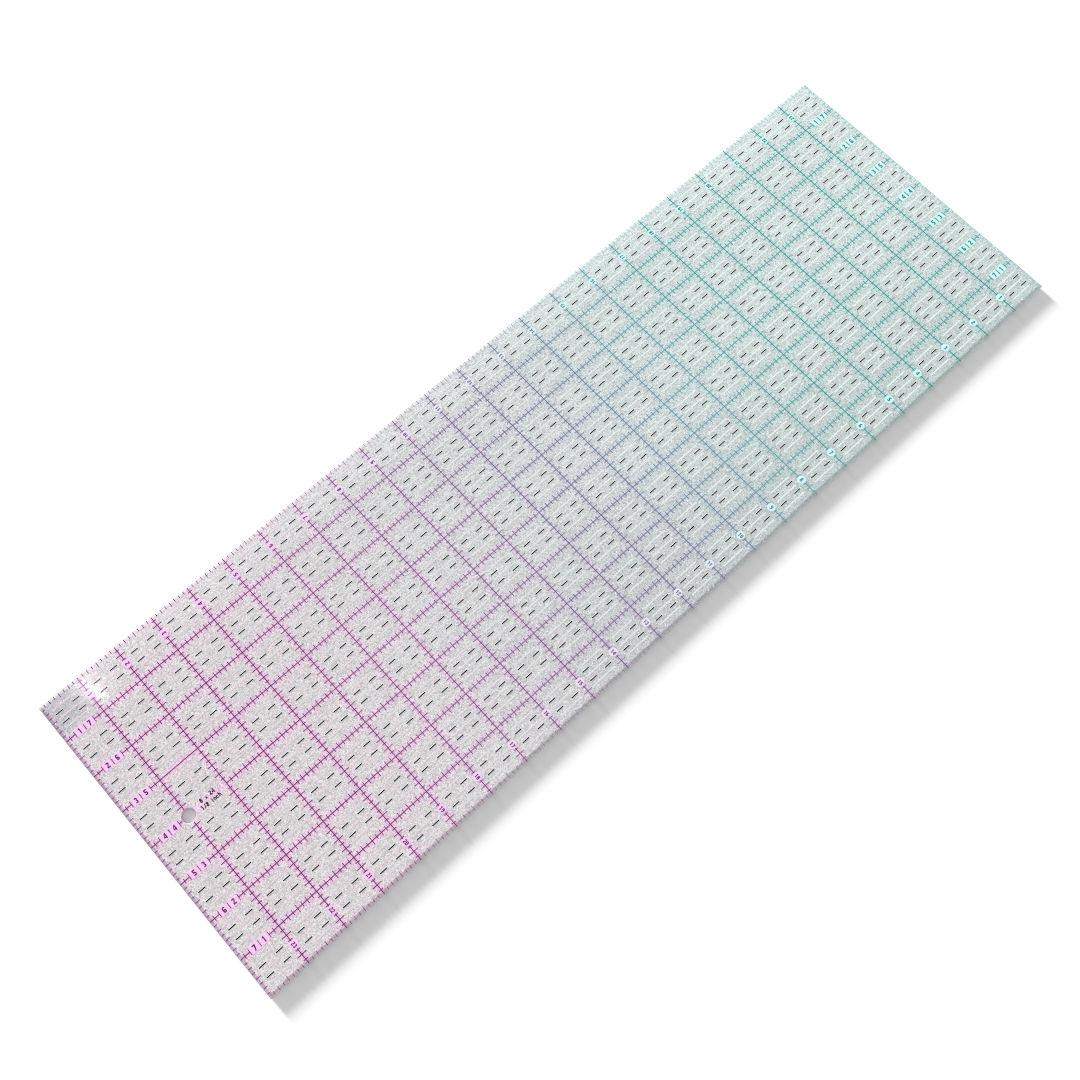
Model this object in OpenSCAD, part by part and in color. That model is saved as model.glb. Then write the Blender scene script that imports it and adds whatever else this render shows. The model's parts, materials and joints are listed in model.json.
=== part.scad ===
// Acrylic quilting ruler: one clear sheet with a hang hole, printed on its upper face with an inch grid.
// X runs along the length, Y across the width, and Z up from the face that lies on the cloth.
// The origin is the middle of that lower face. Places on the print are counted in inches,
// u from the left end and v from the upper long edge, as a person reads them off the ruler.

/* [Sheet] */
// Length, in whole inches
length_in = 24; // [6:1:36]
// Width, in whole inches
width_in = 8; // [4:2:12]
// Thickness of the acrylic
sheet_t = 3; // [2:0.5:6]
// Bevel that takes the sharpness off the outer edges
edge_break = 0.3; // [0.1:0.1:0.6]

/* [Hang hole] */
// Diameter of the hang hole
hole_d = 8; // [4:0.5:8]
// Distance of the hole from the left end, in whole inches
hole_u = 1; // [1:1:2]
// Bare ring left between the hole and the print
hole_margin = 0.3; // [0.1:0.1:1]

/* [Printed film] */
// Thickness of one printed film
film_t = 0.05; // [0.03:0.01:0.1]
// Width of a grid line
line_w = 0.5; // [0.3:0.05:0.7]
// Width of a tick
tick_w = 0.4; // [0.2:0.05:0.6]

/* [Edge ticks] */
// Length of an eighth-inch tick at the edge of the sheet
edge_eighth = 1.85; // [1:0.05:2.2]
// Length of a quarter-inch tick at the edge of the sheet
edge_quarter = 2.25; // [1.5:0.05:2.8]
// Length of a half-inch tick at the edge of the sheet
edge_half = 3; // [2:0.1:3.2]

/* [Numbers] */
// Height of a single digit on a long edge
digit_h = 2.7; // [2:0.1:3]
// Height of the digits of a two-digit number
pair_h = 2.4; // [2:0.1:2.6]
// Height of a digit at an end
end_digit_h = 3.3; // [2.4:0.1:3.6]
// Diameter of the pale spot behind a number on a long edge
spot_d = 5; // [4.5:0.1:5.2]
// Length of the pale tile behind a number at an end
tile_l = 5.2; // [4.5:0.1:5.6]
// Height of the pale tile behind a number at an end
tile_h = 5; // [4:0.1:5.4]
// Half length of a bar between two end numbers
bar_half = 1.85; // [1.4:0.05:2.4]
// Letter height of the size mark beside the hole
mark_h = 2.5; // [2:0.1:3]

/* [Guides] */
// Width of a white quarter-inch guide line
guide_w = 0.8; // [0.4:0.1:1]
// Width of a black sight dash
dash_w = 0.7; // [0.4:0.1:0.9]

/* [Hidden] */
$fn = 48;
inch = 25.4;
length = length_in * inch;
width = width_in * inch;
print_margin = edge_break + 0.1;       // the print stops this far short of the outer edges
hole_clear = hole_d / 2 + hole_margin; // and this far from the middle of the hole
mid_line = width_in / 2;               // the lengthwise line that the hole lies on
spot_v = 1 / 2;                        // the edge numbers are half an inch in from their edge
bar_places = [1 / 4, 1 / 2, 3 / 4];    // bars beside the end numbers, along an end inch
tile_places = [3 / 8, 5 / 8];          // end numbers, along an end inch
dash_rows = [3 / 8, 5 / 8];            // sight dashes, across each square inch
dash_starts = [3 / 16, 5 / 8];         // and along it
dash_l = 3 / 16;
guide_rows = [1 / 4, 1 / 2, 3 / 4];    // white guides, across each square inch
guide_start = 3 / 16;
guide_l = 5 / 8;
glyph_w = 0.56;                        // a digit's width, in digit heights
glyph_t = 0.2;                         // its stroke
glyph_step = 0.64;                     // from one digit to the next
bowl_r = (glyph_w - glyph_t) / 2;      // middle line of a digit's full-width bowl
mark_u = 0.53;                         // from the hole to the middle of the size mark, in inches
mark_gap = 0.05;                       // between its two rows, in inches

magenta = [0.63, 0.1, 0.57];
indigo = [0.36, 0.36, 0.68];
teal = [0.06, 0.56, 0.57];
paper_white = [0.94, 0.97, 0.97];
ink_black = [0.1, 0.1, 0.11];
clear_grey = [0.82, 0.84, 0.84];

function x_at(u) = u * inch - length / 2;
function y_at(v) = width / 2 - v * inch;
function mix(a, b, t) = a + (b - a) * t;
// The coloured ink turns from magenta through indigo to teal along the ruler.
function fade(u) =
    let (t = 2 * u / length_in)
    t < 1 ? mix(magenta, indigo, t) : mix(indigo, teal, t - 1);
// Which eighth of an inch the j-th mark is: 1 for a half inch, 2 for a quarter, 3 for an eighth
function rank(j) = j % 4 == 0 ? 1 : j % 2 == 0 ? 2 : 3;
function edge_length(j) = [edge_half, edge_quarter, edge_eighth][rank(j) - 1];

// A printed strip: its low corner on the sheet and its two sides
module film_box(corner, size) translate([corner[0], corner[1], sheet_t]) cube([size[0], size[1], film_t]);

// The acrylic

// Section of the sheet, w wide, with a bevel at each of its four corners
function section(w) = [
    for (corner = [[1, 1], [-1, 1], [-1, -1], [1, -1]])
        for (cut = corner[0] == corner[1] ? [[0, 1], [1, 0]] : [[1, 0], [0, 1]])
            [
                corner[0] * (w / 2 - cut[0] * edge_break),
                corner[1] * (sheet_t / 2 - cut[1] * edge_break)
            ]
];

module acrylic_sheet()
    color(clear_grey)
        translate([0, 0, sheet_t / 2])
            difference() {
                intersection() {
                    rotate([90, 0, 0])
                        translate([0, 0, -width / 2]) linear_extrude(width) polygon(section(length));
                    rotate([90, 0, 90])
                        translate([0, 0, -length / 2]) linear_extrude(length) polygon(section(width));
                }
                translate([x_at(hole_u), 0, -sheet_t]) cylinder(d = hole_d, h = 2 * sheet_t);
            }

// Coloured grid lines

module crosswise_lines() {
    edge = print_margin / inch;
    spot = spot_d / 2 / inch;
    hole = hole_clear / inch;
    whole = [spot_v + spot, width_in - spot_v - spot];
    for (u = [1 : length_in - 1]) {
        inner = u == hole_u ? [[whole[0], mid_line - hole], [mid_line + hole, whole[1]]] : [whole];
        runs = concat(
            [[edge, spot_v - spot]],
            inner,
            [[width_in - spot_v + spot, width_in - edge]]
        );
        color(fade(u))
            for (run = runs)
                film_box([x_at(u) - line_w / 2, y_at(run[1])], [line_w, (run[1] - run[0]) * inch]);
    }
}

// A stretch of a lengthwise line, from u0 to u1
module lengthwise_run(v, u0, u1)
    color(fade((u0 + u1) / 2))
        film_box([x_at(u0), y_at(v) - line_w / 2], [(u1 - u0) * inch, line_w]);

// The lengthwise lines stop at the sides of the crosswise ones, so that no print lies on print.
module lengthwise_lines() {
    edge = print_margin / inch;
    half = line_w / 2 / inch;
    bar = tick_w / 2 / inch;
    hole = hole_clear / inch;
    last = length_in - 1;
    for (v = [1 : width_in - 1]) {
        at_hole = v == mid_line;
        lengthwise_run(v, edge, bar_places[0] - bar);
        lengthwise_run(v, bar_places[2] + bar, 1 - (at_hole && hole_u == 1 ? hole : half));
        for (u = [1 : last - 1])
            if (!at_hole || u > hole_u) lengthwise_run(v, u + half, u + 1 - half);
        lengthwise_run(v, last + half, last + bar_places[0] - bar);
        lengthwise_run(v, last + bar_places[2] + bar, length_in - edge);
    }
}

// Ticks at the edges of the sheet

module long_edge_ticks(side)
    for (j = [1 : length_in * 8 - 1])
        if (j % 8 != 0) {
            l = edge_length(j);
            y = side * (width / 2 - print_margin);
            color(fade(j / 8))
                film_box([x_at(j / 8) - tick_w / 2, min(y, y - side * l)], [tick_w, l]);
        }

module end_ticks(side)
    for (j = [1 : width_in * 8 - 1])
        if (j % 8 != 0) {
            l = edge_length(j);
            x = side * (length / 2 - print_margin);
            color(side < 0 ? magenta : teal)
                film_box([min(x, x - side * l), y_at(j / 8) - tick_w / 2], [l, tick_w]);
        }

module upper_edge_ticks() long_edge_ticks(1);
module lower_edge_ticks() long_edge_ticks(-1);
module left_end_ticks() end_ticks(-1);
module right_end_ticks() end_ticks(1);

// Pale grounds behind the numbers

module number_spots(v)
    for (u = [1 : length_in - 1])
        color(mix(fade(u), paper_white, 0.8))
            translate([x_at(u), y_at(v), sheet_t]) cylinder(d = spot_d, h = film_t);

module number_tiles(end)
    for (v = [1 : width_in - 1])
        for (place = tile_places)
            color(mix(end == 0 ? magenta : teal, paper_white, 0.7))
                film_box([x_at(end + place) - tile_l / 2, y_at(v) - tile_h / 2], [tile_l, tile_h]);

module upper_number_spots() number_spots(spot_v);
module lower_number_spots() number_spots(width_in - spot_v);
module left_number_tiles() number_tiles(0);
module right_number_tiles() number_tiles(length_in - 1);

// Digits and letters, drawn one unit high and $depth thick, with their foot on the X axis

module arc(x, y, r, from, to)
    translate([x, y])
        rotate([0, 0, from])
            rotate_extrude(angle = to - from) translate([r - glyph_t / 2, 0]) square([glyph_t, $depth]);
module ring(x, y, r)
    translate([x, y])
        difference() {
            cylinder(r = r + glyph_t / 2, h = $depth);
            translate([0, 0, -$depth]) cylinder(r = r - glyph_t / 2, h = 3 * $depth);
        }
module bar(x0, y0, x1, y1) translate([x0, y0]) cube([x1 - x0, y1 - y0, $depth]);
module slab(points) linear_extrude($depth) polygon(points);

module glyph(c) {
    w = glyph_w;
    t = glyph_t;
    mid = w / 2;
    if (c == "0") {
        arc(mid, 1 - mid, bowl_r, 0, 180);
        arc(mid, mid, bowl_r, 180, 360);
        bar(0, mid, t, 1 - mid);
        bar(w - t, mid, w, 1 - mid);
    }
    if (c == "1") {
        bar(mid - t / 2, 0, mid + t / 2, 1);
        slab([[mid - t / 2, 1], [0.04, 0.84], [0.04, 0.7], [mid - t / 2, 0.82]]);
    }
    if (c == "2") {
        arc(mid, 1 - mid, bowl_r, 0, 170);
        slab([[w - t, 1 - mid], [w, 1 - mid], [0.2, t], [0, t]]);
        bar(0, 0, w, t);
    }
    if (c == "3") {
        arc(mid - 0.02, 0.73, 0.17, -90, 150);
        arc(mid - 0.02, 0.28, bowl_r, -150, 90);
    }
    if (c == "4") {
        bar(0.34, 0, 0.34 + t, 1);
        bar(0, 0.21, 0.34, 0.21 + t);
        bar(0.34 + t, 0.21, w, 0.21 + t);
        slab([[0, 0.21 + t], [0.15, 0.21 + t], [0.34, 0.72], [0.34, 1]]);
    }
    if (c == "5") {
        bar(0.03, 1 - t, w, 1);
        bar(0.03, 0.46, 0.03 + t, 1 - t);
        arc(mid - 0.03, 0.31, 0.21, -150, 135);
    }
    if (c == "6") six();
    if (c == "7") {
        bar(0, 1 - t, w, 1);
        slab([[w - t - 0.02, 1 - t], [w, 1 - t], [0.1 + t, 0], [0.08, 0]]);
    }
    if (c == "8") {
        ring(mid, 0.28, bowl_r);
        ring(mid, 0.74, 0.16);
    }
    if (c == "9") translate([w, 1]) rotate([0, 0, 180]) six();
    if (c == "x") {
        slab([[0.02, 0], [0.2, 0], [w - 0.02, 0.6], [w - 0.2, 0.6]]);
        slab([[w - 0.02, 0], [w - 0.2, 0], [0.02, 0.6], [0.2, 0.6]]);
    }
    if (c == "/") slab([[0, 0], [t, 0], [w, 1], [w - t, 1]]);
    if (c == "i") {
        bar(mid - t / 2, 0, mid + t / 2, 0.7);
        bar(mid - t / 2, 0.85, mid + t / 2, 1);
    }
    if (c == "n") arch(0.7);
    if (c == "h") arch(1);
    if (c == "c") arc(mid, 0.33, 0.23, 50, 310);
}

module six() {
    ring(glyph_w / 2, glyph_w / 2, bowl_r);
    arc(glyph_w / 2, 1 - glyph_w / 2, bowl_r, 25, 180);
    bar(0, glyph_w / 2, glyph_t, 1 - glyph_w / 2);
}

module arch(stem) {
    top = 0.7 - glyph_w / 2;
    bar(0, 0, glyph_t, stem);
    bar(glyph_w - glyph_t, 0, glyph_w, top);
    arc(glyph_w / 2, top, bowl_r, 0, 155);
}

// A word or number printed with its middle at u, v, on the sheet itself or on a film already there
module ink_word(u, v, turn, word, height, level) {
    $depth = film_t / height;
    run = (len(word) - 1) * glyph_step + glyph_w;
    translate([x_at(u), y_at(v), sheet_t + level * film_t])
        rotate([0, 0, turn])
            scale(height)
                for (i = [0 : len(word) - 1])
                    translate([i * glyph_step - run / 2, -0.5]) glyph(word[i]);
}

module edge_numbers(v, turn, from_left)
    for (u = [1 : length_in - 1]) {
        count = from_left ? u : length_in - u;
        color(fade(u)) ink_word(u, v, turn, str(count), count < 10 ? digit_h : pair_h, 1);
    }

module end_numbers(end, ink)
    for (v = [1 : width_in - 1])
        color(ink) {
            ink_word(end + tile_places[0], v, 0, str(v), end_digit_h, 1);
            ink_word(end + tile_places[1], v, 0, str(width_in - v), end_digit_h, 1);
        }

module upper_numbers() edge_numbers(spot_v, 90, true);
module lower_numbers() edge_numbers(width_in - spot_v, -90, false);
module left_numbers() end_numbers(0, magenta);
module right_numbers() end_numbers(length_in - 1, teal);

module number_bars(end, ink)
    for (v = [1 : width_in - 1])
        for (place = bar_places)
            color(ink)
                film_box([x_at(end + place) - tick_w / 2, y_at(v) - bar_half], [tick_w, 2 * bar_half]);

module left_number_bars() number_bars(0, magenta);
module right_number_bars() number_bars(length_in - 1, teal);

// Guides inside every square inch

module white_guide_lines()
    color(paper_white)
        for (u = [0 : length_in - 1])
            for (v = [0 : width_in - 1])
                for (row = guide_rows)
                    film_box([x_at(u + guide_start), y_at(v + row) - guide_w / 2], [guide_l * inch, guide_w]);

module sight_dashes()
    color(ink_black)
        for (u = [0 : length_in - 1])
            for (v = [0 : width_in - 1])
                for (row = dash_rows)
                    for (start = dash_starts)
                        film_box([x_at(u + start), y_at(v + row) - dash_w / 2], [dash_l * inch, dash_w]);

// The ruler's size and its smallest division, in two short rows beside the hole

module size_mark() {
    row = mark_gap / 2 + mark_h / 2 / inch;
    color(ink_black) {
        ink_word(hole_u + mark_u, mid_line - row, 0, str(width_in, " x ", length_in), mark_h, 0);
        ink_word(hole_u + mark_u, mid_line + row, 0, "1/8 inch", mark_h, 0);
    }
}

acrylic_sheet();
crosswise_lines();
lengthwise_lines();
upper_edge_ticks();
lower_edge_ticks();
left_end_ticks();
right_end_ticks();
upper_number_spots();
lower_number_spots();
left_number_tiles();
right_number_tiles();
upper_numbers();
lower_numbers();
left_numbers();
right_numbers();
left_number_bars();
right_number_bars();
white_guide_lines();
sight_dashes();
size_mark();
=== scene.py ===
"""Looks of an acrylic quilting ruler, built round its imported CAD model.

The CAD print keeps its own meshes and gets inks that fade along the ruler. A rounded sheet takes
the place of the plain CAD sheet, and Geometry Nodes add what repeats inside the inch grid: the
ticks on the inch lines, the white grounds under the sight dashes and the glitter in the acrylic.
Places on the ruler are counted in inches, u from the left end and v from the upper long edge.
"""

import json
import math

import bmesh
import bpy
from bpy.props import FloatProperty, FloatVectorProperty, IntProperty, PointerProperty
from mathutils import Matrix, Vector


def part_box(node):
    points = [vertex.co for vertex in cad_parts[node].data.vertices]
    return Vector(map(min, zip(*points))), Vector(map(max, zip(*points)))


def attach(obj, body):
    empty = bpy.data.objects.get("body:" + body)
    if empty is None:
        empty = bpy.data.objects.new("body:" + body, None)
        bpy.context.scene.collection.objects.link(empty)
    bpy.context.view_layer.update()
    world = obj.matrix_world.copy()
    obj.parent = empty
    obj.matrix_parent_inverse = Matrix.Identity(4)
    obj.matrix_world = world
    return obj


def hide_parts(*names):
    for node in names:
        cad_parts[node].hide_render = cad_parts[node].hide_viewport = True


bl_info = {
    "name": "Acrylic Quilting Ruler",
    "version": (1, 0, 0),
    "blender": (4, 5, 0),
    "location": "3D View > Sidebar > Ruler",
    "description": "Sheet, print and studio of a clear quilting ruler",
    "category": "Object",
}

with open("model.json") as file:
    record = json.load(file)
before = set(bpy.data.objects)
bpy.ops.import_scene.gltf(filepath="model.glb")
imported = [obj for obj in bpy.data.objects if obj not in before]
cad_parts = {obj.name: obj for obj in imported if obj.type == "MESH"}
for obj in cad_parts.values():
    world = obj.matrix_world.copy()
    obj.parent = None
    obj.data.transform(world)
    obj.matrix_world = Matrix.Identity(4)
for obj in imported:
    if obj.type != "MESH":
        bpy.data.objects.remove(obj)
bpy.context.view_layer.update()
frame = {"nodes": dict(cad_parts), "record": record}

INCH = 0.0254
MM = 0.001
SHEET_LOW, SHEET_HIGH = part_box("acrylic_sheet")
LENGTH = SHEET_HIGH.x - SHEET_LOW.x
WIDTH = SHEET_HIGH.y - SHEET_LOW.y
THICKNESS = SHEET_HIGH.z - SHEET_LOW.z
LENGTH_IN = round(LENGTH / INCH)
WIDTH_IN = round(WIDTH / INCH)
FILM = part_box("sight_dashes")[1].z - SHEET_HIGH.z
HANG_HOLE = next(m for m in frame["record"]["mounts"] if m["name"] == "hang_hole")
HOLE_R = HANG_HOLE["dims"]["r_mm"] * MM
HOLE_X, HOLE_Y = HANG_HOLE["pos_m"][:2]
HOLE_U = (HOLE_X - SHEET_LOW.x) / INCH
MIDDLE_V = WIDTH_IN / 2
WHITE = (1, 1, 1, 1)


def swatch(red, green, blue):
    """A display colour from 0 to 255 as scene-linear red, green and blue."""
    shares = [channel / 255 for channel in (red, green, blue)]
    return tuple(s / 12.92 if s <= 0.04045 else ((s + 0.055) / 1.055) ** 2.4 for s in shares)


# Settings


def length(name, description, default):
    return FloatProperty(name=name, description=description, default=default, min=0, unit="LENGTH")


def share(name, description, default):
    return FloatProperty(
        name=name, description=description, default=default, min=0, max=1, subtype="FACTOR"
    )


def angle(name, description, degrees):
    return FloatProperty(
        name=name, description=description, default=math.radians(degrees), subtype="ANGLE"
    )


def amount(name, description, default):
    return FloatProperty(name=name, description=description, default=default, min=0)


def tinting(name, description, *default):
    """A colour that another one is multiplied by, so it may go past 1."""
    return FloatVectorProperty(
        name=name, description=description, default=default, min=0, max=2, subtype="COLOR"
    )


def colour(name, description, red, green, blue):
    return tinting(name, description, *swatch(red, green, blue))


class RulerSheetSettings(bpy.types.PropertyGroup):
    """Shape and finish of the acrylic sheet."""

    edge_round: length("Edge Round", "Radius that the long and end edges are polished to", 0.3 * MM)
    corner_round: length("Corner Round", "Radius of the sheet's four corners", 0.6 * MM)
    clearness: share("Clearness", "Share of light that goes straight through a frosted face", 0.15)
    clear_margin: length("Clear Margin", "Clearer border inside the long edges", 3.0 * MM)
    upper_clearness: share("Upper Clearness", "Share of light through the upper border", 0.6)
    lower_clearness: share("Lower Clearness", "Share of light through the lower border", 0.93)
    edge_clearness: share("Edge Clearness", "Share of light through the long cut edges", 0.8)
    end_clearness: share("End Clearness", "The same for the ends and the hole's wall", 0.1)
    # Painted shade: the rim is a darker line painted along the left end, where the unlit end wall
    # shows through.
    rim_width: length("Rim Width", "Line where the left end wall shows through", 1.75 * MM)
    rim_shade: share("Rim Shade", "How much darker that line is", 0.34)
    # Painted reflection: the upper left corner is tinted darker and bluish, as a dark reflection
    # would.
    corner_reflection_tint: tinting("Corner Tint", "Bluish tint of the upper left corner", 0.73, 0.76, 0.79)
    left_tint: colour("Left Tint", "Acrylic at the left end", 213, 208, 210)
    middle_tint: colour("Middle Tint", "Acrylic half way along", 205, 209, 209)
    teal_tint: colour("Teal Tint", "Acrylic two thirds of the way along", 203, 213, 212)
    right_tint: colour("Right Tint", "Acrylic at the right end", 208, 218, 217)
    edge_left: colour("Edge Left", "Cut edges at the left end", 222, 208, 218)
    edge_right: colour("Edge Right", "Cut edges at the right end", 218, 234, 232)
    grain: length("Grain", "Size of a grain of the frosted face", 0.6 * MM)
    grain_contrast: share("Grain Contrast", "How far grains differ in lightness", 0.28)
    hue_contrast: share("Hue Contrast", "How far patches lean to pink or green", 0.03)
    # Painted shade: the acrylic is darkened towards the lower right corner, where the light falls
    # off.
    lower_right_shade: share("Smoke", "How much darker the acrylic is in the lower right corner", 0.13)
    gloss_roughness: share("Gloss Roughness", "Roughness of the polished faces", 0.05)


class RulerInkSettings(bpy.types.PropertyGroup):
    """Colours of the printed inks."""

    magenta: colour("Magenta", "Ink at the left end", 100, 10, 88)
    purple: colour("Purple", "Ink a quarter of the way along", 111, 50, 106)
    violet: colour("Violet", "Ink two fifths of the way along", 101, 68, 115)
    indigo: colour("Indigo", "Ink half way along", 88, 92, 123)
    azure: colour("Azure", "Ink between indigo and teal", 92, 138, 145)
    teal: colour("Teal", "Ink at the right end", 44, 114, 114)
    pale_magenta: colour("Pale Magenta", "Light ink at the left end", 108, 36, 98)
    pale_purple: colour("Pale Purple", "Light ink a quarter of the way along", 129, 104, 124)
    pale_violet: colour("Pale Violet", "Light ink two fifths of the way along", 130, 119, 130)
    pale_indigo: colour("Pale Indigo", "Light ink half way along", 124, 130, 147)
    pale_azure: colour("Pale Azure", "Light ink between indigo and teal", 117, 160, 165)
    pale_teal: colour("Pale Teal", "Light ink at the right end", 108, 162, 160)
    edge_dark: colour("Edge Dark", "Upper edge ticks at the left end", 15, 0, 18)
    edge_plum: colour("Edge Plum", "Other edge ticks at the left end", 118, 58, 108)
    edge_mauve: colour("Edge Mauve", "Edge ticks a quarter of the way along", 116, 114, 116)
    edge_grey: colour("Edge Grey", "Edge ticks half way along", 143, 141, 145)
    edge_green: colour("Edge Green", "Edge ticks at the right end", 162, 180, 175)
    pink_ground: colour("Pink Ground", "Number grounds at the left end", 232, 188, 229)
    pale_ground: colour("Pale Ground", "Number grounds half way along", 218, 219, 231)
    cyan_ground: colour("Cyan Ground", "Number grounds at the right end", 188, 235, 233)
    white: colour("White", "Grounds of the sight dashes", 218, 222, 222)
    guide_left: colour("Guide Left", "Guide lines at the left end", 208, 196, 204)
    guide_middle: colour("Guide Middle", "Guide lines half way along", 215, 217, 219)
    guide_right: colour("Guide Right", "Guide lines at the right end", 216, 232, 230)
    black: colour("Black", "Sight dashes and size mark", 24, 24, 28)
    bleed: share("Bleed", "How much a crosswise line at the left darkens its sides", 0.08)
    bleed_width: length("Bleed Width", "How far from the middle of the line that goes", 0.95 * MM)
    # Painted light: a lighter band under each white guide, which cancels the shadow that the
    # guide's film casts.
    guide_shadow_fill: share("Guide Bleed", "How much a white guide lightens what is below it", 0.45)
    guide_shadow_fill_width: length("Guide Bleed Width", "How far below the guide that goes", 0.25 * MM)
    halo_width: length("Halo Width", "How far a coloured line tints the acrylic", 3.4 * MM)
    halo_pink: tinting("Halo Pink", "Tint beside the lines at the left end", 1.22, 0.875, 1.175)
    halo_lilac: tinting("Halo Lilac", "Tint beside the lines half way along", 1.0, 0.96, 1.1)
    halo_cyan: tinting("Halo Cyan", "Tint beside the lines at the right end", 0.825, 1.07, 1.07)


class RulerTickSettings(bpy.types.PropertyGroup):
    """Sizes of what repeats inside the inch grid."""

    tick_width: length("Tick Width", "Width of a tick", 0.45 * MM)
    cross_eighth: length("Crosswise Eighth", "Half length on a crosswise line", 1.4 * MM)
    cross_quarter: length("Crosswise Quarter", "Half length of quarters and halves there", 3.0 * MM)
    long_eighth: length("Lengthwise Eighth", "Half length on a lengthwise line", 1.5 * MM)
    long_quarter: length("Lengthwise Quarter", "Half length of quarter ticks there", 2.0 * MM)
    long_half: length("Lengthwise Half", "Half length of half ticks there", 2.5 * MM)
    ground_border: length("Dash Ground Border", "White left showing round a sight dash", 0.2 * MM)


class RulerGlitterSettings(bpy.types.PropertyGroup):
    """Glitter in the face of the acrylic."""

    density: amount("Density", "Flakes on a square metre", 34000)
    smallest: length("Smallest", "Radius of the smallest flake", 0.14 * MM)
    largest: length("Largest", "Radius of the largest flake", 0.4 * MM)
    seed: IntProperty(name="Seed", description="Draw of the flakes' places and sizes", default=7)


class RulerStudioSettings(bpy.types.PropertyGroup):
    """Floor, light and camera."""

    floor_size: length("Floor Size", "Side of the square floor", 12.0)
    sky_strength: amount("Sky Strength", "Even white light from all round", 0.6)
    sun_strength: amount("Sun Strength", "Low key light from behind the ruler", 9.1)
    sun_elevation: angle("Sun Elevation", "Height of the key light over the floor", 12)
    sun_spread: angle("Sun Spread", "Softness of the key light", 7.8)
    glint_power: FloatProperty(
        name="Glint Power",
        description="Small lamp behind the glint",
        default=0.029,
        min=0,
        unit="POWER",
    )
    glint_place: FloatVectorProperty(
        name="Glint Place",
        description="Place of the glint, from the upper left corner",
        default=(1.08 * INCH, 0.42 * INCH),
        size=2,
        unit="LENGTH",
    )
    glint_width: length("Glint Width", "Width of the small lamp", 11 * MM)
    glint_height: length("Glint Height", "Height of the small lamp", 34 * MM)
    glint_distance: length("Glint Distance", "The small lamp's distance from the glint", 0.8)
    lens: FloatProperty(
        name="Lens", description="Focal length", default=40.42, min=1, unit="CAMERA"
    )
    aim: FloatVectorProperty(
        name="Aim",
        description="Point the camera looks at",
        default=(-0.0357, -0.0121, 0),
        subtype="TRANSLATION",
    )
    distance: length("Distance", "Camera's distance from its aim", 0.7)
    azimuth: angle("Azimuth", "Turn of the camera round the ruler, from a view along +Y", -43.84)
    elevation: angle("Elevation", "Height of the view", 71.86)
    roll: angle("Roll", "Tilt of the camera about its view", 1.26)


# Node trees


class Wiring:
    """Adds nodes to a tree. An input is linked if it is given as a node's output, and else set."""

    def __init__(self, tree):
        self.tree = tree

    def add(self, kind, inputs=None, **settings):
        node = self.tree.nodes.new(kind)
        for name, value in settings.items():
            setattr(node, name, value)
        for key, value in (inputs or {}).items():
            self.feed(node.inputs[key], value)
        return node

    def feed(self, socket, value):
        if isinstance(value, bpy.types.NodeSocket):
            self.tree.links.new(value, socket)
        else:
            socket.default_value = value

    def math(self, operation, *values):
        node = self.add("ShaderNodeMath", dict(enumerate(values)), operation=operation)
        return node.outputs["Value"]

    def product(self, *values):
        result = values[0]
        for value in values[1:]:
            result = self.math("MULTIPLY", result, value)
        return result

    def tinted(self, base, tint):
        node = self.add("ShaderNodeVectorMath", {0: base, 1: tint}, operation="MULTIPLY")
        return node.outputs["Vector"]

    def mixed(self, factor, low, high):
        """The colour low where factor is 0 and high where it is 1."""
        node = self.add("ShaderNodeMix", {0: factor, 6: low, 7: high}, data_type="RGBA")
        return node.outputs[2]

    def blended(self, factor, low, high):
        """The same for two numbers."""
        node = self.add("ShaderNodeMix", {0: factor, 2: low, 3: high}, data_type="FLOAT")
        return node.outputs[0]

    def stretched(self, value, low, high, out_low, out_high, kind="LINEAR"):
        inputs = {0: value, 1: low, 2: high, 3: out_low, 4: out_high}
        return self.add("ShaderNodeMapRange", inputs, interpolation_type=kind).outputs["Result"]

    def ramp(self, factor, *stops):
        """A colour ramp through the (position, colour) stops."""
        node = self.add("ShaderNodeValToRGB", {"Fac": factor})
        elements = node.color_ramp.elements
        while len(elements) < len(stops):
            elements.new(0.5)
        for element, (position, tint) in zip(elements, stops):
            element.position = position
            element.color = (*tint, 1)
        return node.outputs["Color"]


class Surface(Wiring):
    """A material with one Principled shader, and the ruler's places to draw its pattern by."""

    def __init__(self, name):
        self.material = bpy.data.materials.new(name)
        self.material.use_nodes = True
        super().__init__(self.material.node_tree)
        self.shader = self.tree.nodes["Principled BSDF"]
        self.place = self.add("ShaderNodeTexCoord").outputs["Object"]
        axes = self.add("ShaderNodeSeparateXYZ", {0: self.place}).outputs
        self.u = self.math("MULTIPLY_ADD", axes["X"], 1 / INCH, LENGTH / INCH / 2)
        self.v = self.math("MULTIPLY_ADD", axes["Y"], -1 / INCH, WIDTH / INCH / 2)
        self.along = self.math("DIVIDE", self.u, LENGTH_IN)

    def set(self, **values):
        for name, value in values.items():
            label = name.replace("_", " ").title().replace("Ior", "IOR")
            self.feed(self.shader.inputs[label], value)

    def grains(self, size):
        """A random number from 0 to 1 for each grain."""
        inputs = {"Vector": self.place, "Scale": 1 / size}
        cells = self.add("ShaderNodeTexVoronoi", inputs).outputs["Color"]
        return self.add("ShaderNodeSeparateColor", {0: cells}).outputs[0]

    def clouds(self, size, detail=2):
        inputs = {"Vector": self.place, "Scale": 1 / size, "Detail": detail}
        return self.add("ShaderNodeTexNoise", inputs).outputs[0]

    def varied(self, clouds, low, high):
        """A number from low to high, over the middle part of what clouds give."""
        return self.stretched(clouds, 0.3, 0.7, low, high)

    def relief(self, height, strength, depth):
        inputs = {"Height": height, "Strength": strength, "Distance": depth}
        bump = self.add("ShaderNodeBump", inputs)
        self.feed(self.shader.inputs["Normal"], bump.outputs["Normal"])


# Materials

ACRYLIC_IOR = 1.49

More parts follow.
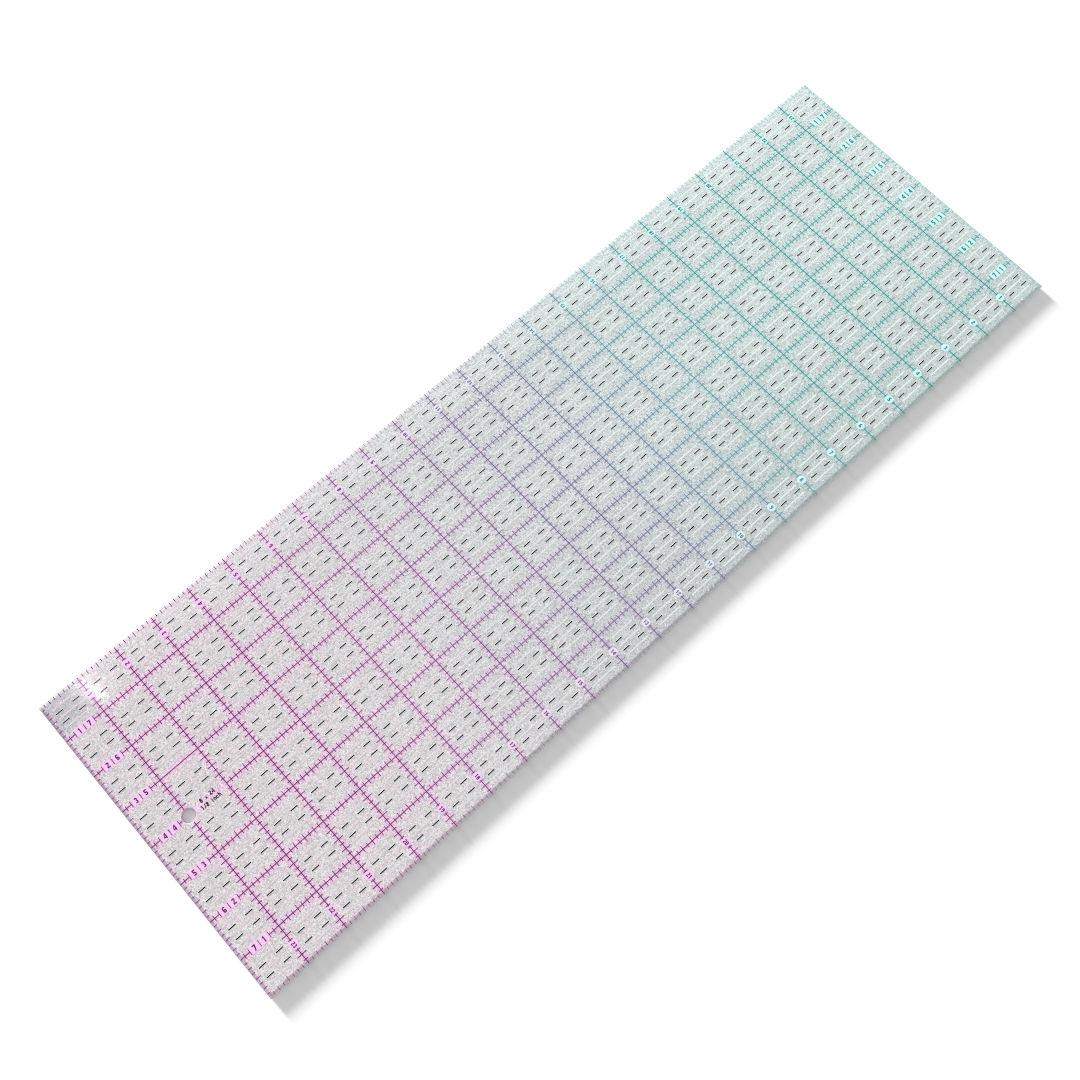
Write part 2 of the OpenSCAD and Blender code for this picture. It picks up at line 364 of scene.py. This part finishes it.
# Where the colours stand along the ruler, from 0 at the left end to 1 at the right.
ACRYLIC_STOPS = (0.15, 0.48, 0.65, 1)
INK_STOPS = (0.15, 0.27, 0.4, 0.52, 0.65, 0.77)
EDGE_TICK_STOPS = (0.15, 0.27, 0.52, 0.65)


def acrylic_colour(face, sheet):
    """The acrylic's own colour along the ruler, in patches that lean to pink or green."""
    tints = (sheet.left_tint, sheet.middle_tint, sheet.teal_tint, sheet.right_tint)
    base = face.ramp(face.along, *zip(ACRYLIC_STOPS, tints))
    pink_lean = (1 + sheet.hue_contrast, 1 - sheet.hue_contrast, 1)
    green_lean = (1 - sheet.hue_contrast, 1 + sheet.hue_contrast, 1)
    lean = face.ramp(face.clouds(4 * sheet.grain), (0.4, pink_lean), (0.6, green_lean))
    return face.tinted(base, lean)


def lower_right_shaded(face, sheet):
    """Painted shade: lightness that falls towards the lower right corner, where the light falls
    off.
    """
    towards_right = face.stretched(face.along, 0.2, 0.5, 0, 1, "SMOOTHSTEP")
    towards_lower = face.stretched(face.v, MIDDLE_V, WIDTH_IN, 0, sheet.lower_right_shade)
    return face.math("SUBTRACT", 1, face.product(towards_right, towards_lower))


def left_rim_shading(face, sheet):
    """Painted shade: lightness of a darker line along the left end, where the unlit end wall shows
    through the face.
    """
    rim = sheet.rim_width / INCH
    return face.stretched(face.u, 0.9 * rim, 1.1 * rim, 1 - sheet.rim_shade, 1, "SMOOTHSTEP")


def corner_shade(face, sheet):
    """Painted reflection: the darker, bluish tint of the first square inch, which fades out past
    it.
    """
    past_corner = face.math("MAXIMUM", face.u, face.v)
    past_corner = face.stretched(past_corner, 0.5, 1.15, 0, 1, "SMOOTHSTEP")
    return face.mixed(past_corner, (*sheet.corner_reflection_tint, 1), WHITE)


def beside_lines(face, ink):
    """Lightness along both sides of the crosswise lines, which matters at the left end only."""
    from_line = face.math("PINGPONG", face.u, 0.5)
    is_near = face.math("SIGN", face.stretched(from_line, 0, ink.bleed_width / INCH, 1, 0))
    shade = face.stretched(face.along, 0.16, 0.26, ink.bleed, 0)
    return face.math("SUBTRACT", 1, face.product(is_near, shade))


def light_beside_guides(face, ink):
    """Painted light along the lower side of the white guides, three rows to a square inch, that
    cancels the shadow each guide's film casts.
    """
    row_pitch, half_length, half_width = 1 / 4, 5 / 16, 0.4 * MM / INCH
    past_row = face.math("MODULO", face.v, row_pitch)
    across = face.product(
        face.math("GREATER_THAN", past_row, half_width),
        face.math("LESS_THAN", past_row, half_width + ink.guide_shadow_fill_width / INCH),
        face.math("GREATER_THAN", face.math("MODULO", face.v, 1), row_pitch),
    )
    from_middle = face.math("SUBTRACT", face.math("MODULO", face.u, 1), 0.5)
    is_along = face.math("LESS_THAN", face.math("ABSOLUTE", from_middle), half_length)
    return face.math("MULTIPLY_ADD", face.product(across, is_along), ink.guide_shadow_fill, 1)


def line_halo(face, ink):
    """The tint that the coloured lines throw into the acrylic beside them."""
    stops = ((0.2, ink.halo_pink), (0.52, ink.halo_lilac), (0.75, ink.halo_cyan))
    reach = ink.halo_width / INCH
    nearness = 0
    for place in (face.u, face.v):
        from_line = face.math("PINGPONG", place, 0.5)
        near = face.stretched(from_line, reach / 5, reach, 1, 0, "SMOOTHSTEP")
        nearness = face.math("MAXIMUM", nearness, near)
    return face.mixed(nearness, WHITE, face.ramp(face.along, *stops))


def border_cover(face, from_edge, fade_end, clearness, sheet):
    """Cover of a face that is clearer at one long edge, and frosted from fade_end margins in."""
    margin = sheet.clear_margin / INCH
    span = (0.3 * margin, fade_end * margin)
    return face.stretched(from_edge, *span, 1 - clearness, 1 - sheet.clearness, "SMOOTHSTEP")


def frosted_face(sheet, ink):
    """Both faces of the acrylic: a fine grain, the tint that the coloured lines throw into it, and
    painted shade, light and reflection.
    """
    face = Surface("ruler_frosted_acrylic")
    grain = face.grains(sheet.grain)
    lightness = face.product(
        face.stretched(grain, 0, 1, 1 - sheet.grain_contrast, 1 + sheet.grain_contrast),
        lower_right_shaded(face, sheet),
        left_rim_shading(face, sheet),
        beside_lines(face, ink),
        light_beside_guides(face, ink),
    )
    base = face.tinted(acrylic_colour(face, sheet), lightness)
    # The corner shade is a painted dark reflection.
    base = face.tinted(face.tinted(base, corner_shade(face, sheet)), line_halo(face, ink))
    from_lower = face.math("SUBTRACT", WIDTH_IN, face.v)
    cover = face.math(
        "MINIMUM",
        border_cover(face, face.v, 1.2, sheet.upper_clearness, sheet),
        border_cover(face, from_lower, 1.05, sheet.lower_clearness, sheet),
    )
    smooth, rough = sheet.gloss_roughness, 2 * sheet.gloss_roughness
    roughness = face.varied(face.clouds(sheet.grain / 2), smooth, rough)
    face.set(base_color=base, alpha=cover, roughness=roughness, ior=ACRYLIC_IOR)
    face.relief(grain, 0.15, 0.02 * MM)
    return face.material


def polished_edge(sheet):
    """The cut edges, with faint streaks along the cut: the long ones let most light through."""
    end_wall, round_hole = 0.4999, 0.5
    edge = Surface("ruler_polished_edge")
    streaks = edge.clouds(4 * MM, detail=4)
    lightness = edge.varied(streaks, 0.8, 1.2)
    from_middle = edge.math("ABSOLUTE", edge.math("SUBTRACT", edge.along, 0.5))
    at_ends = edge.math("GREATER_THAN", from_middle, end_wall)
    in_hole = edge.product(
        edge.math("COMPARE", edge.u, HOLE_U, round_hole),
        edge.math("COMPARE", edge.v, MIDDLE_V, round_hole),
    )
    is_dull = edge.math("MAXIMUM", at_ends, in_hole)
    cover = edge.blended(is_dull, 1 - sheet.edge_clearness, 1 - sheet.end_clearness)
    tint = edge.ramp(edge.along, (0.2, sheet.edge_left), (0.7, sheet.edge_right))
    edge.set(base_color=edge.tinted(tint, lightness), ior=ACRYLIC_IOR, alpha=cover)
    edge.set(roughness=edge.varied(streaks, 0.15, 0.3))
    edge.relief(streaks, 0.1, 0.05 * MM)
    return edge.material


def printed_ink(name, *stops, mottle=0.1):
    """An ink film whose colour runs through the stops along the ruler, mottled by the screen."""
    film = Surface(name)
    tint = film.ramp(film.along, *stops)
    patches = film.clouds(0.6 * MM)
    lightness = film.varied(patches, 1 - mottle, 1 + mottle)
    film.set(base_color=film.tinted(tint, lightness), ior=ACRYLIC_IOR)
    film.set(roughness=film.varied(patches, 0.08, 0.128))
    film.relief(patches, 0.08, 0.02 * MM)
    return film.material


def fading_ink(ink):
    """The coloured ink of the crosswise lines, the numbers and the lengthwise lines' ticks."""
    tints = (ink.magenta, ink.purple, ink.violet, ink.indigo, ink.azure, ink.teal)
    return printed_ink("ruler_fading_ink", *zip(INK_STOPS, tints))


def pale_fading_ink(ink):
    """The lighter ink of the lengthwise lines, and of the ticks on the crosswise ones."""
    tints = (
        ink.pale_magenta,
        ink.pale_purple,
        ink.pale_violet,
        ink.pale_indigo,
        ink.pale_azure,
        ink.pale_teal,
    )
    return printed_ink("ruler_pale_fading_ink", *zip(INK_STOPS, tints))


def edge_tick_ink(name, ink, left_tint):
    """The ink of ticks along the sheet's own edges, which soon goes grey."""
    tints = (left_tint, ink.edge_mauve, ink.edge_grey, ink.edge_green)
    return printed_ink(name, *zip(EDGE_TICK_STOPS, tints))


def number_ground(ink):
    stops = ((0.2, ink.pink_ground), (0.5, ink.pale_ground), (0.7, ink.cyan_ground))
    return printed_ink("ruler_number_ground", *stops, mottle=0.03)


def guide_ink(ink):
    """The white of the guide lines, which is stronger towards the right end."""
    stops = ((0.1, ink.guide_left), (0.5, ink.guide_middle), (0.8, ink.guide_right))
    return printed_ink("ruler_guide_ink", *stops, mottle=0.16)


def glitter_flake():
    """Pearly flakes that lean to pink or green."""
    flake = Surface("ruler_glitter")
    stops = ((0.2, swatch(250, 236, 246)), (0.8, swatch(234, 250, 244)))
    lean = flake.ramp(flake.grains(2 * MM), *stops)
    flake.set(base_color=lean, ior=1.6, roughness=0.2)
    return flake.material


def pale_floor():
    floor = Surface("studio_floor")
    floor.set(base_color=(0.85, 0.85, 0.85, 1), roughness=1.0, specular_ior_level=0.0)
    return floor.material


# Pieces


def keep(piece, slot, *stands_for):
    """Puts a finished piece under the root body and hides the CAD nodes that it replaces; slot, the
    finish's name, is not used.
    """
    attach(piece, "root")
    if stands_for:
        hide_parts(*stands_for)


def dress(material, *nodes):
    """Gives CAD nodes a material, in the slots that they have."""
    for name in nodes:
        node = frame["nodes"][name]
        if not node.material_slots:
            node.data.materials.append(material)
        for slot in node.material_slots:
            slot.material = material


def add_object(name, data):
    piece = bpy.data.objects.new(name, data)
    bpy.context.scene.collection.objects.link(piece)
    return piece


def finished_mesh(piece):
    evaluated = piece.evaluated_get(bpy.context.evaluated_depsgraph_get())
    return bpy.data.meshes.new_from_object(evaluated)


def arc(centre, radius, start, turn, steps):
    """Points on a circle, from the angle start through turn."""
    angles = [start + turn * step / steps for step in range(steps + 1)]
    return [(centre[0] + radius * math.cos(a), centre[1] + radius * math.sin(a)) for a in angles]


def add_loop(curve, points):
    loop = curve.splines.new("POLY")
    loop.points.add(len(points) - 1)
    for point, (x, y) in zip(loop.points, points):
        point.co = (x, y, 0, 1)
    loop.use_cyclic_u = True


def rounded_sheet(edge_round, corner_round):
    """A closed plate with the hang hole through it and every edge rounded."""
    corner_steps, hole_steps, edge_steps = 6, 64, 3
    weld = 0.001 * MM
    curve = bpy.data.curves.new("sheet_outline", "CURVE")
    curve.dimensions = "2D"
    curve.fill_mode = "BOTH"
    curve.extrude = THICKNESS / 2 - edge_round
    curve.bevel_depth = edge_round
    curve.bevel_resolution = edge_steps
    reach_x = LENGTH / 2 - corner_round
    reach_y = WIDTH / 2 - corner_round
    outline = []
    inset = corner_round - edge_round
    for quarter, (x, y) in enumerate(((1, 1), (-1, 1), (-1, -1), (1, -1))):
        centre = (x * reach_x, y * reach_y)
        outline += arc(centre, inset, quarter * math.pi / 2, math.pi / 2, corner_steps)
    add_loop(curve, outline)
    add_loop(curve, arc((HOLE_X, HOLE_Y), HOLE_R + edge_round, 0, 2 * math.pi, hole_steps)[:-1])
    former = add_object("sheet_former", curve)
    mesh = finished_mesh(former)
    bpy.data.objects.remove(former)
    mesh.transform(Matrix.Translation((0, 0, THICKNESS / 2)))
    form = bmesh.new()
    form.from_mesh(mesh)
    bmesh.ops.remove_doubles(form, verts=form.verts, dist=weld)
    bmesh.ops.recalc_face_normals(form, faces=form.faces)
    for face in form.faces:
        is_flat = abs(face.normal.z) > 0.999
        face.smooth = not is_flat
        face.material_index = 0 if is_flat else 1
    form.to_mesh(mesh)
    form.free()
    return mesh


# Geometry Nodes

# Where two films meet the higher one shows: each kind is lower than the CAD print by its own share.
TICK_FILM = 0.9 * FILM
GROUND_FILM = 0.6 * FILM
FLAKE_FILM = 0.3 * FILM


class Pattern(Wiring):
    """A Geometry Nodes tree with named inputs, whose result is made real and takes one material."""

    def __init__(self, name):
        super().__init__(bpy.data.node_groups.new(name, "GeometryNodeTree"))
        self.tree.is_modifier = True
        self.sockets = {}
        self.new_socket = self.tree.interface.new_socket
        self.new_socket("Geometry", in_out="OUTPUT", socket_type="NodeSocketGeometry")
        self.group_input = self.add("NodeGroupInput")

    def input(self, name, value, kind="NodeSocketFloat"):
        """A named input of the tree, and the value that this ruler gives it."""
        socket = self.new_socket(name, in_out="INPUT", socket_type=kind)
        self.sockets[socket.identifier] = value
        return self.group_input.outputs[name]

    def finish(self, instances, material):
        ink = self.input("Material", material, "NodeSocketMaterial")
        solid = self.add("GeometryNodeRealizeInstances", {"Geometry": instances}).outputs[0]
        inked = self.add("GeometryNodeSetMaterial", {"Geometry": solid, "Material": ink}).outputs[0]
        self.add("NodeGroupOutput", {0: inked})

    def made(self, name):
        """The tree's result as a plain mesh piece."""
        piece = add_object(name, bpy.data.meshes.new(name))
        modifier = piece.modifiers.new(self.tree.name, "NODES")
        modifier.node_group = self.tree
        for identifier, value in self.sockets.items():
            modifier[identifier] = value
        mesh = finished_mesh(piece)
        piece.modifiers.remove(modifier)
        piece.data = mesh
        return piece


def vector(pattern, x, y, z):
    return pattern.add("ShaderNodeCombineXYZ", {0: x, 1: y, 2: z}).outputs[0]


def bar_of(pattern, size):
    return pattern.add("GeometryNodeMeshCube", {"Size": size}).outputs["Mesh"]


def point_grid(pattern, size_x, size_y, count_x, count_y):
    inputs = {"Size X": size_x, "Size Y": size_y, "Vertices X": count_x, "Vertices Y": count_y}
    return pattern.add("GeometryNodeMeshGrid", inputs).outputs["Mesh"]


def place_axes(pattern):
    place = pattern.add("GeometryNodeInputPosition").outputs[0]
    return pattern.add("ShaderNodeSeparateXYZ", {0: place}).outputs


def on_sheet(pattern, geometry, height):
    """Films of a height that are made about the origin, lifted onto the sheet's upper face."""
    lift = vector(pattern, 0, 0, pattern.math("MULTIPLY_ADD", height, 0.5, THICKNESS))
    inputs = {"Geometry": geometry, "Translation": lift}
    return pattern.add("GeometryNodeTransform", inputs).outputs[0]


def random_number(pattern, low, high, seed):
    inputs = {2: low, 3: high, "Seed": seed}
    return pattern.add("FunctionNodeRandomValue", inputs, data_type="FLOAT").outputs[1]


def outside(pattern, u, v, area):
    """1 where u, v is outside the area (u0, v0, u1, v1), and 0 inside it."""
    u0, v0, u1, v1 = area
    inside = pattern.product(
        pattern.math("GREATER_THAN", u, u0),
        pattern.math("LESS_THAN", u, u1),
        pattern.math("GREATER_THAN", v, v0),
        pattern.math("LESS_THAN", v, v1),
    )
    return pattern.math("SUBTRACT", 1, inside)


def tick_rows(name, crosswise, lengths, tick_width, material, rests):
    """Ticks every eighth of an inch on the inch lines, with none at the inches or in the rests.

    Crosswise ticks stand on the crosswise lines, and the others on the lengthwise lines. The
    lengths are half those of an eighth, a quarter and a half tick.
    """
    parts = 8
    pattern = Pattern(name)
    eighth, quarter, half = (
        pattern.input(label, value) for label, value in zip(("Eighth", "Quarter", "Half"), lengths)
    )
    width = pattern.input("Tick Width", tick_width)
    pitch = pattern.input("Inch", INCH)
    height = pattern.input("Film Height", TICK_FILM)
    steps_u = 1 if crosswise else parts
    steps_v = parts if crosswise else 1
    points = point_grid(
        pattern,
        pattern.math("MULTIPLY", pitch, LENGTH_IN - 2 / steps_u),
        pattern.math("MULTIPLY", pitch, WIDTH_IN - 2 / steps_v),
        LENGTH_IN * steps_u - 1,
        WIDTH_IN * steps_v - 1,
    )
    axes = place_axes(pattern)
    u = pattern.math("ADD", pattern.math("DIVIDE", axes["X"], pitch), LENGTH_IN / 2)
    v = pattern.math("SUBTRACT", MIDDLE_V, pattern.math("DIVIDE", axes["Y"], pitch))
    count = pattern.math("ROUND", pattern.math("MULTIPLY", v if crosswise else u, parts))
    in_inch = pattern.math("MODULO", count, parts)
    is_odd = pattern.math("MODULO", count, 2)
    is_half = pattern.math("COMPARE", in_inch, parts / 2, 0.5)
    reach = pattern.blended(is_odd, pattern.blended(is_half, quarter, half), eighth)
    whole = pattern.math("MULTIPLY", reach, 2)
    sides = (whole, width) if crosswise else (width, whole)
    size = vector(pattern, *sides, height)
    wanted = pattern.math("GREATER_THAN", in_inch, 0.5)
    for area in rests:
        wanted = pattern.product(wanted, outside(pattern, u, v, area))
    bar = bar_of(pattern, (1, 1, 1))
    ticks = pattern.add(
        "GeometryNodeInstanceOnPoints",
        {"Points": points, "Selection": wanted, "Instance": bar, "Scale": size},
    ).outputs[0]
    pattern.finish(on_sheet(pattern, ticks, height), material)
    return pattern.made(name)


def dash_grounds(name, border, material):
    """A white bar under every sight dash: four in each square inch."""
    dash_length, dash_width = 3 / 16 * INCH, 0.7 * MM
    spread_u, spread_v = 7 / 16 * INCH, INCH / 4
    pattern = Pattern(name)
    edge = pattern.input("Border", border)
    pitch = pattern.input("Inch", INCH)
    height = pattern.input("Film Height", GROUND_FILM)
    both = pattern.math("MULTIPLY", edge, 2)
    long_side = pattern.math("ADD", both, dash_length)
    short_side = pattern.math("ADD", both, dash_width)
    bar = bar_of(pattern, vector(pattern, long_side, short_side, height))
    four = point_grid(pattern, spread_u, spread_v, 2, 2)
    cell = pattern.add("GeometryNodeInstanceOnPoints", {"Points": four, "Instance": bar})
    cells = point_grid(
        pattern,
        pattern.math("MULTIPLY", pitch, LENGTH_IN - 1),
        pattern.math("MULTIPLY", pitch, WIDTH_IN - 1),
        LENGTH_IN,
        WIDTH_IN,
    )
    inputs = {"Points": cells, "Instance": cell.outputs[0]}
    bars = pattern.add("GeometryNodeInstanceOnPoints", inputs).outputs[0]
    pattern.finish(on_sheet(pattern, bars, height), material)
    return pattern.made(name)


def scattered_flakes(name, glitter, material):
    """Thin six-sided flakes strewn over the face of the sheet."""
    pattern = Pattern(name)
    density = pattern.input("Density", glitter.density)
    smallest = pattern.input("Smallest", glitter.smallest)
    largest = pattern.input("Largest", glitter.largest)
    seed = pattern.input("Seed", glitter.seed, "NodeSocketInt")
    height = pattern.input("Film Height", FLAKE_FILM)
    margin = 1.5 * MM
    field = point_grid(pattern, LENGTH - 2 * margin, WIDTH - 2 * margin, 2, 2)
    spots = pattern.add(
        "GeometryNodeDistributePointsOnFaces", {"Mesh": field, "Density": density, "Seed": seed}
    ).outputs["Points"]
    axes = place_axes(pattern)
    hole = zip((axes["X"], axes["Y"]), (HOLE_X, HOLE_Y))
    gaps = [pattern.math("SUBTRACT", place, middle) for place, middle in hole]
    squares = [pattern.math("POWER", gap, 2) for gap in gaps]
    from_hole = pattern.math("SQRT", pattern.math("ADD", *squares))
    clear = pattern.math("GREATER_THAN", from_hole, HOLE_R + margin)
    radius = random_number(pattern, smallest, largest, seed)
    turn = random_number(pattern, 0, math.pi, 1)
    disc = pattern.add(
        "GeometryNodeMeshCylinder", {"Vertices": 6, "Radius": 1.0, "Depth": 1.0}
    ).outputs["Mesh"]
    flakes = pattern.add(
        "GeometryNodeInstanceOnPoints",
        {
            "Points": spots,
            "Selection": clear,
            "Instance": disc,
            "Rotation": vector(pattern, 0, 0, turn),
            "Scale": vector(pattern, radius, radius, height),
        },
    ).outputs[0]
    pattern.finish(on_sheet(pattern, flakes, height), material)
    return pattern.made(name)


# Studio


def add_light(name, kind, place, rotation, **settings):
    light = bpy.data.lights.new(name, kind)
    for key, value in settings.items():
        setattr(light, key, value)
    lamp = add_object(name, light)
    lamp.location = place
    lamp.rotation_euler = rotation
    return lamp


def add_camera(studio):
    camera = add_object("studio_camera", bpy.data.cameras.new("studio_camera"))
    turn = Matrix.Rotation(studio.azimuth, 4, "Z")
    lean = Matrix.Rotation(math.pi / 2 - studio.elevation, 4, "X")
    back = Matrix.Translation((0, 0, studio.distance))
    roll = Matrix.Rotation(studio.roll, 4, "Z")
    camera.matrix_world = Matrix.Translation(studio.aim) @ turn @ lean @ back @ roll
    camera.data.lens = studio.lens
    camera.data.clip_start = 0.01
    bpy.context.scene.camera = camera
    return camera


def add_floor(size):
    gap = 0.05 * MM
    half = size / 2
    mesh = bpy.data.meshes.new("studio_floor")
    corners = [(x * half, y * half, -gap) for x, y in ((-1, -1), (1, -1), (1, 1), (-1, 1))]
    mesh.from_pydata(corners, [], [(0, 1, 2, 3)])
    mesh.materials.append(pale_floor())
    floor = add_object("studio_floor", mesh)


def lamp_for_glint(place, camera_place, distance):
    """Where a lamp stands, and how it turns, to glint to the camera from a place on the sheet."""
    to_camera = (camera_place - place).normalized()
    to_lamp = Vector((-to_camera.x, -to_camera.y, to_camera.z))
    return place + distance * to_lamp, to_lamp.to_track_quat("Z", "Y").to_euler()


# Operators


class RULER_OT_sheet(bpy.types.Operator):
    """Make the acrylic sheet with its hang hole and rounded edges"""

    bl_idname = "ruler.sheet"
    bl_label = "Acrylic Sheet"

    def execute(self, context):
        settings = context.scene.ruler_sheet
        mesh = rounded_sheet(settings.edge_round, settings.corner_round)
        mesh.materials.append(frosted_face(settings, context.scene.ruler_ink))
        mesh.materials.append(polished_edge(settings))
        keep(add_object("rounded_sheet", mesh), "clear_acrylic", "acrylic_sheet")
        return {"FINISHED"}


class RULER_OT_print(bpy.types.Operator):
    """Ink the CAD print: grid lines, edge ticks, numbers, guides, dashes and size mark"""

    bl_idname = "ruler.print"
    bl_label = "Printed Films"

    def execute(self, context):
        ink = context.scene.ruler_ink
        fading = fading_ink(ink)
        dress(fading, "crosswise_lines")
        dress(pale_fading_ink(ink), "lengthwise_lines")
        dark_ticks = edge_tick_ink("ruler_dark_tick_ink", ink, ink.edge_dark)
        dress(dark_ticks, "upper_edge_ticks", "right_end_ticks")
        plum_ticks = edge_tick_ink("ruler_plum_tick_ink", ink, ink.edge_plum)
        dress(plum_ticks, "lower_edge_ticks", "left_end_ticks")
        dress(fading, "upper_numbers", "lower_numbers", "left_numbers", "right_numbers")
        dress(fading, "left_number_bars", "right_number_bars")
        ground = number_ground(ink)
        dress(ground, "upper_number_spots", "lower_number_spots")
        dress(ground, "left_number_tiles", "right_number_tiles")
        black = printed_ink("ruler_black_ink", (0, ink.black), (1, ink.black), mottle=0.2)
        dress(black, "sight_dashes", "size_mark")
        dress(guide_ink(ink), "white_guide_lines")
        return {"FINISHED"}


class RULER_OT_ticks(bpy.types.Operator):
    """Make the ticks on the inch lines"""

    bl_idname = "ruler.ticks"
    bl_label = "Inch Ticks"

    def execute(self, context):
        ticks = context.scene.ruler_ticks
        near = 0.1
        number_row = 0.5
        tile_start, tile_end = 0.2, 0.8
        hole_gap = (HOLE_R + 0.3 * MM) / INCH
        rows = (number_row, WIDTH_IN - number_row)
        at_numbers = [(0, v - near, LENGTH_IN, v + near) for v in rows]
        at_hole = (HOLE_U - hole_gap, MIDDLE_V - hole_gap, HOLE_U + hole_gap, MIDDLE_V + hole_gap)
        piece = tick_rows(
            "crosswise_line_ticks",
            True,
            (ticks.cross_eighth, ticks.cross_quarter, ticks.cross_quarter),
            ticks.tick_width,
            bpy.data.materials["ruler_pale_fading_ink"],
            [*at_numbers, at_hole],
        )
        keep(piece, "fading_ink")
        tiles = (0, LENGTH_IN - 1)
        at_tiles = [(inch + tile_start, 0, inch + tile_end, WIDTH_IN) for inch in tiles]
        beside_hole = (HOLE_U - hole_gap, MIDDLE_V - near, 2, MIDDLE_V + near)
        plain_inch = (1, MIDDLE_V - 1 - near, 2, MIDDLE_V - 1 + near)
        piece = tick_rows(
            "lengthwise_line_ticks",
            False,
            (ticks.long_eighth, ticks.long_quarter, ticks.long_half),
            ticks.tick_width,
            bpy.data.materials["ruler_fading_ink"],
            [*at_tiles, beside_hole, plain_inch],
        )
        keep(piece, "fading_ink")
        return {"FINISHED"}


class RULER_OT_grounds(bpy.types.Operator):
    """Make the white grounds under the sight dashes"""

    bl_idname = "ruler.grounds"
    bl_label = "Dash Grounds"

    def execute(self, context):
        white = context.scene.ruler_ink.white
        ink = printed_ink("ruler_white_ink", (0, white), (1, white), mottle=0.04)
        border = context.scene.ruler_ticks.ground_border
        keep(dash_grounds("dash_grounds", border, ink), "white_ink")
        return {"FINISHED"}


class RULER_OT_glitter(bpy.types.Operator):
    """Strew the glitter over the sheet"""

    bl_idname = "ruler.glitter"
    bl_label = "Glitter"

    def execute(self, context):
        piece = scattered_flakes("glitter_flakes", context.scene.ruler_glitter, glitter_flake())
        keep(piece, "white_ink")
        return {"FINISHED"}


class RULER_OT_studio(bpy.types.Operator):
    """Set up the floor, the lights and the camera"""

    bl_idname = "ruler.studio"
    bl_label = "Studio"

    def execute(self, context):
        studio = context.scene.ruler_studio
        context.scene.view_settings.view_transform = "Standard"
        context.scene.cycles.filter_width = 1.0
        context.scene.cycles.denoising_prefilter = "NONE"
        add_floor(studio.floor_size)
        world = bpy.data.worlds.new("studio_sky")
        world.use_nodes = True
        sky = world.node_tree.nodes["Background"]
        sky.inputs["Color"].default_value = WHITE
        sky.inputs["Strength"].default_value = studio.sky_strength
        context.scene.world = world
        add_light(
            "key_sun",
            "SUN",
            (0, 1, 1),
            (studio.sun_elevation - math.pi / 2, 0, 0),
            energy=studio.sun_strength,
            angle=studio.sun_spread,
        )
        eye = add_camera(studio).matrix_world.translation
        from_left, from_upper = studio.glint_place
        glint = Vector((SHEET_LOW.x + from_left, SHEET_HIGH.y - from_upper, SHEET_HIGH.z))
        place, rotation = lamp_for_glint(glint, eye, studio.glint_distance)
        add_light(
            "corner_glint",
            "AREA",
            place,
            rotation,
            shape="RECTANGLE",
            size=studio.glint_width,
            size_y=studio.glint_height,
            energy=studio.glint_power,
        )
        return {"FINISHED"}


class RULER_PT_panel(bpy.types.Panel):
    """The ruler's pieces, in the order that they are made"""

    bl_label = "Quilting Ruler"
    bl_idname = "RULER_PT_panel"
    bl_space_type = "VIEW_3D"
    bl_region_type = "UI"
    bl_category = "Ruler"

    def draw(self, context):
        for operator in OPERATORS:
            self.layout.operator(operator.bl_idname)


SETTINGS = {
    "ruler_sheet": RulerSheetSettings,
    "ruler_ink": RulerInkSettings,
    "ruler_ticks": RulerTickSettings,
    "ruler_glitter": RulerGlitterSettings,
    "ruler_studio": RulerStudioSettings,
}
OPERATORS = (
    RULER_OT_studio,
    RULER_OT_sheet,
    RULER_OT_print,
    RULER_OT_ticks,
    RULER_OT_grounds,
    RULER_OT_glitter,
)


def register():
    for group in (*SETTINGS.values(), *OPERATORS, RULER_PT_panel):
        bpy.utils.register_class(group)
    for name, group in SETTINGS.items():
        setattr(bpy.types.Scene, name, PointerProperty(type=group))


def unregister():
    for name in SETTINGS:
        delattr(bpy.types.Scene, name)
    for group in (RULER_PT_panel, *reversed(OPERATORS), *reversed(SETTINGS.values())):
        bpy.utils.unregister_class(group)


def main():
    register()
    bpy.ops.ruler.studio()
    bpy.ops.ruler.sheet()
    bpy.ops.ruler.print()
    bpy.ops.ruler.ticks()
    bpy.ops.ruler.grounds()
    bpy.ops.ruler.glitter()


if __name__ == "__main__":
    main()
